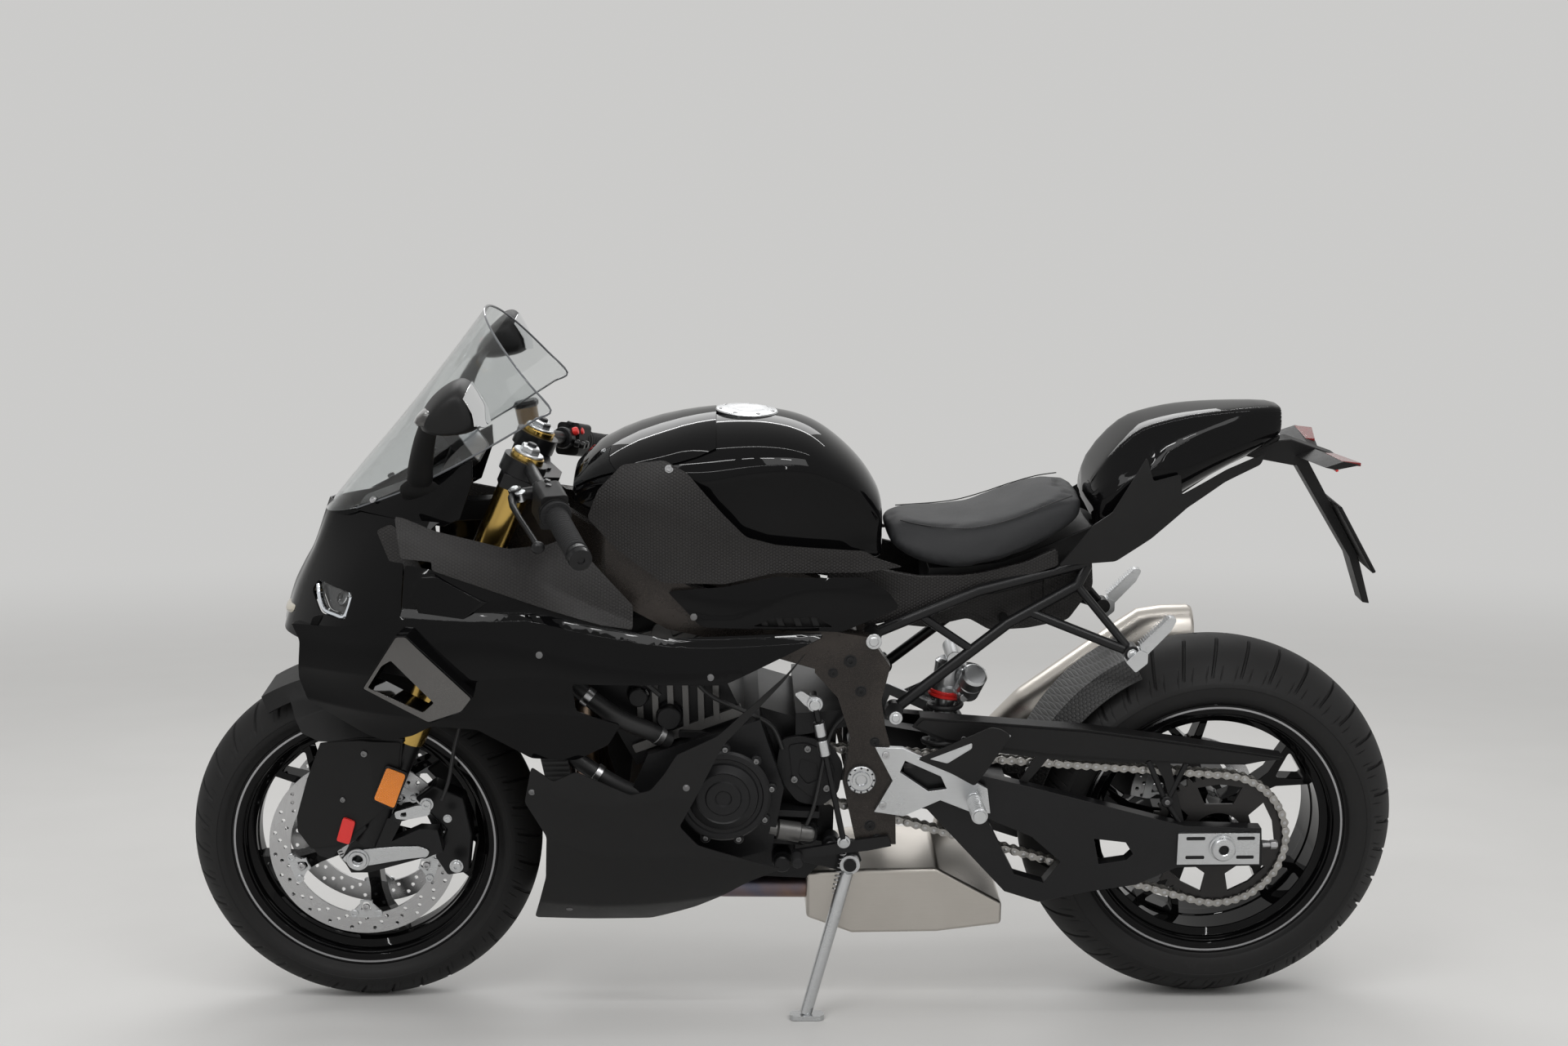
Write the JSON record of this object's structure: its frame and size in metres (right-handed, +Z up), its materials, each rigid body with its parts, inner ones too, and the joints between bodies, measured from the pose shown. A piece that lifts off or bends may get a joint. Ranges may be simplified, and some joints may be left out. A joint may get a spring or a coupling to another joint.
{
  "type": "sport motorcycle",
  "caption": "Faired sport motorcycle with a clear bubble screen, stepped seat, under-engine silencer and chain drive, leaning on its side stand.",
  "frame": {"origin": "on the ground, below the rear axle, where the machine's middle plane meets the ground", "axes": "+X forward, +Y to the rider's left, +Z up; the machine leans to the left on its side stand"},
  "size_m": [2.083, 0.8605, 1.2143],
  "materials": {
    "gloss_black": "high gloss",
    "matt_trim": "fine moulded texture",
    "frame_black": "granular satin",
    "engine_black": "satin",
    "machined": "machined",
    "cast_black": "semi gloss",
    "gold": "anodised",
    "steel": "ground",
    "chain": "dull plated",
    "exhaust": "heat tinted",
    "rubber": "matt",
    "tyre": "matt",
    "seat": "grained vinyl",
    "glass_clear": "clear",
    "lamp": "clear",
    "radiator_black": "matt fins"
  },
  "bodies": {
    "chassis": {"main_frame": "frame_black", "subframe": "cast_black", "swingarm": "cast_black", "engine": "engine_black", "engine_covers": "engine_black", "radiator": "radiator_black", "fuel_tank": "gloss_black", "tank_trims": "matt_trim", "frame_covers": "gloss_black", "seat": "seat", "tail_cowl": "gloss_black", "undertail": "matt_trim", "tail_trims": "matt_trim", "nose_fairing": "gloss_black", "headlights": "lamp", "windscreen": "glass_clear", "side_fairings": "gloss_black", "upper_trims": "matt_trim", "winglets": "gloss_black", "belly_pan": "matt_trim", "dashboard": "matt_trim", "mirrors": "gloss_black", "front_stay": "cast_black", "exhaust_headers": "exhaust", "silencer_box": "exhaust", "end_can": "exhaust", "shock_absorber": "steel", "rear_hugger": "matt_trim", "chain_guard": "matt_trim", "drive_chain": "chain", "footrest_hangers": "machined", "foot_controls": "cast_black", "passenger_pegs": "machined", "plate_holder": "matt_trim", "rear_indicators": "matt_trim", "rear_caliper": "cast_black", "rear_spindles": "machined", "stand_bracket": "cast_black"},
    "fuel_cap": {"fuel_cap": "machined"},
    "side_stand": {"side_stand": "steel"},
    "steering": {"triple_clamps": "cast_black", "fork_tubes": "gold", "fork_legs": "cast_black", "front_spindle": "machined", "front_calipers": "cast_black", "clip_ons": "cast_black", "grips": "rubber", "switchgear": "matt_trim", "levers": "cast_black", "front_fender": "matt_trim"},
    "front_wheel": {"front_tyre": "tyre", "front_rim": "gloss_black", "front_discs": "steel"},
    "rear_wheel": {"rear_tyre": "tyre", "rear_rim": "gloss_black", "rear_disc": "steel", "rear_sprocket": "steel"}
  },
  "joints": [
    {"name": "steering_turn", "type": "hinge", "parent": "chassis", "child": "steering", "pos_m": [1.43094, 0.05011, 0.28515], "axis": [-0.3999, 0.1591, 0.9026], "range_deg": [-22, 22]},
    {"name": "front_wheel_spin", "type": "hinge", "parent": "steering", "child": "front_wheel", "pos_m": [1.45715, 0.05209, 0.29641], "axis": [-0.0001, 0.9848, -0.1736], "continuous": true},
    {"name": "rear_wheel_spin", "type": "hinge", "parent": "chassis", "child": "rear_wheel", "pos_m": [0.00017, 0.05661, 0.32277], "axis": [-0.0001, 0.9848, -0.1736], "continuous": true},
    {"name": "side_stand_fold", "type": "hinge", "parent": "chassis", "child": "side_stand", "pos_m": [0.62714, 0.17641, 0.26477], "axis": [-0.0001, 0.9848, -0.1736], "range_deg": [0, 95]},
    {"name": "fuel_cap_lid", "type": "hinge", "parent": "chassis", "child": "fuel_cap", "pos_m": [0.85254, 0.18204, 1.03366], "axis": [-0.0001, 0.9848, -0.1736], "range_deg": [0, 95]}
  ]
}
